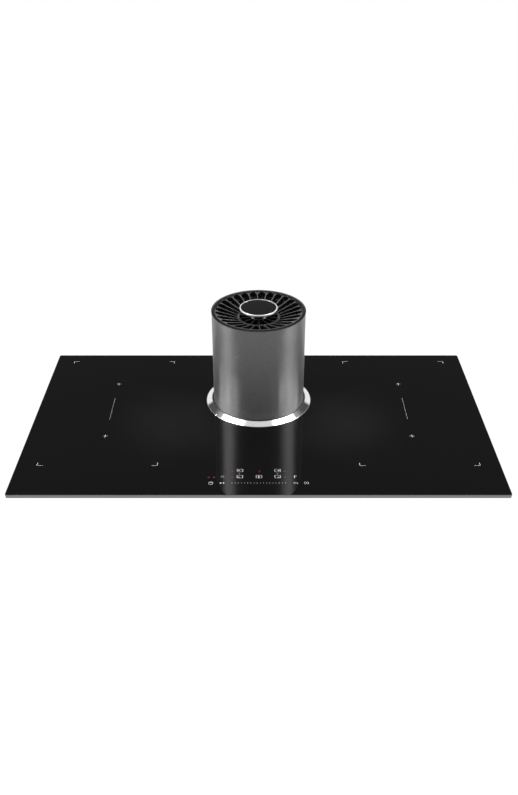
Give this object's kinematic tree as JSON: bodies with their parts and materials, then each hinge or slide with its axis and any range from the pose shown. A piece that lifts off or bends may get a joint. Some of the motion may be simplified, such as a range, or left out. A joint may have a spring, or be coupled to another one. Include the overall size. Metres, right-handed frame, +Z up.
{
  "type": "downdraft induction cooktop",
  "caption": "Black glass induction hob with a round brushed-steel extraction tower that rises from a chrome collar, radial-vane air inlet, sunken shaft, lift drive and fan.",
  "frame": {"origin": "on the worktop plane, the underside of the glass seal, below the middle of the hob", "axes": "+Z up, +Y to the back of the worktop, +X to the right for the person who cooks"},
  "size_m": [0.9, 0.5162, 0.5115],
  "materials": {
    "black_glass": "polished",
    "trim_steel": "satin",
    "seal_foam": "matt",
    "zinc_sheet": "zinc-coated sheet",
    "chrome": "polished",
    "rubber": "matt",
    "mica": "matt",
    "sensor_ceramic": "matt",
    "board_black": "matt",
    "board_green": "matt",
    "housing_plastic": "matt",
    "gland_plastic": "matt",
    "cast_aluminium": "as cast",
    "extruded_aluminium": "extruded",
    "ground_steel": "ground",
    "bearing_bronze": "machined",
    "brass_nut": "machined",
    "motor_steel": "zinc-coated",
    "brushed_tube": "bead-blasted satin",
    "grille_black": "gloss black",
    "cap_black": "gloss black",
    "filter_steel": "satin",
    "filter_aluminium": "woven mesh",
    "wheel_plastic": "matt",
    "pulley_plastic": "matt",
    "damper_plastic": "matt",
    "fan_black": "matt",
    "copper_litz": "enamelled litz wire",
    "carrier_plastic": "matt"
  },
  "bodies": {
    "hob": {"base_tray": "zinc_sheet", "belt_cover": "housing_plastic", "cable_gland": "gland_plastic", "chrome_collar": "chrome", "clamp_screws": "ground_steel", "coil_carrier_left_back": "carrier_plastic", "coil_carrier_left_front": "carrier_plastic", "coil_carrier_right_back": "carrier_plastic", "coil_carrier_right_front": "carrier_plastic", "coil_sensors": "sensor_ceramic", "coil_winding_left_back": "copper_litz", "coil_winding_left_front": "copper_litz", "coil_winding_right_back": "copper_litz", "coil_winding_right_front": "copper_litz", "cooling_fan_left": "fan_black", "cooling_fan_right": "fan_black", "drip_ring": "housing_plastic", "drive_belt": "rubber", "fan_motor": "motor_steel", "front_trim": "trim_steel", "glass_plate": "black_glass", "glass_seal": "seal_foam", "guide_rods": "ground_steel", "heat_sink_left": "extruded_aluminium", "heat_sink_right": "extruded_aluminium", "housing_screws": "ground_steel", "inlet_plenum": "housing_plastic", "lift_motor": "motor_steel", "mica_sheets": "mica", "outlet_duct": "housing_plastic", "power_board_left": "board_green", "power_board_right": "board_green", "screw_bearing": "bearing_bronze", "scroll_inlet_half": "housing_plastic", "scroll_motor_half": "housing_plastic", "terminal_box": "housing_plastic", "touch_board": "board_black", "tower_well": "zinc_sheet", "well_floor": "cast_aluminium", "wiper_seal": "rubber", "worktop_clamps": "zinc_sheet"},
    "tower": {"lift_tube": "brushed_tube", "filter_seat": "grille_black", "carriage": "cast_aluminium", "guide_bushes": "bearing_bronze", "screw_nut": "brass_nut"},
    "cartridge": {"vane_grille": "grille_black", "centre_cap": "cap_black", "cap_ring": "chrome", "filter_frame": "filter_steel", "filter_mesh": "filter_aluminium", "cartridge_bolt": "ground_steel"},
    "screw": {"lead_screw": "ground_steel", "screw_pulley": "pulley_plastic"},
    "motor_wheel": {"motor_pulley": "ground_steel"},
    "fan": {"fan_wheel": "wheel_plastic"},
    "cooling_left": {"cooling_rotor_left": "fan_black"},
    "cooling_right": {"cooling_rotor_right": "fan_black"},
    "damper": {"damper_plate": "damper_plastic", "damper_pin": "ground_steel"}
  },
  "joints": [
    {"name": "tower_lift", "type": "slide", "parent": "hob", "child": "tower", "axis": [0, 0, 1], "range_m": [-0.2, 0]},
    {"name": "cartridge_lift", "type": "slide", "parent": "tower", "child": "cartridge", "axis": [0, 0, 1], "range_m": [0, 0.13]},
    {"name": "screw_spin", "type": "hinge", "parent": "hob", "child": "screw", "pos_m": [0, 0.068, -0.27], "axis": [0, 0, 1], "range_deg": [-4501, 1]},
    {"name": "motor_spin", "type": "hinge", "parent": "hob", "child": "motor_wheel", "pos_m": [-0.132, 0.068, -0.283], "axis": [0, 0, 1], "range_deg": [-9002, 2]},
    {"name": "fan_spin", "type": "hinge", "parent": "hob", "child": "fan", "pos_m": [0.14, 0.04, -0.158], "axis": [1, 0, 0], "continuous": true},
    {"name": "cooling_spin_left", "type": "hinge", "parent": "hob", "child": "cooling_left", "pos_m": [-0.25, -0.06, -0.065], "axis": [0, 0, 1], "continuous": true},
    {"name": "cooling_spin_right", "type": "hinge", "parent": "hob", "child": "cooling_right", "pos_m": [0.315, -0.13, -0.065], "axis": [0, 0, 1], "continuous": true},
    {"name": "damper_swing", "type": "hinge", "parent": "hob", "child": "damper", "pos_m": [0.144, 0.178, -0.2079], "axis": [1, 0, 0], "range_deg": [0, 70]}
  ],
  "couplings": [
    {"joint": "screw_spin", "follows": "tower_lift", "rad_per_m": 392.7},
    {"joint": "motor_spin", "follows": "tower_lift", "rad_per_m": 785.4}
  ]
}
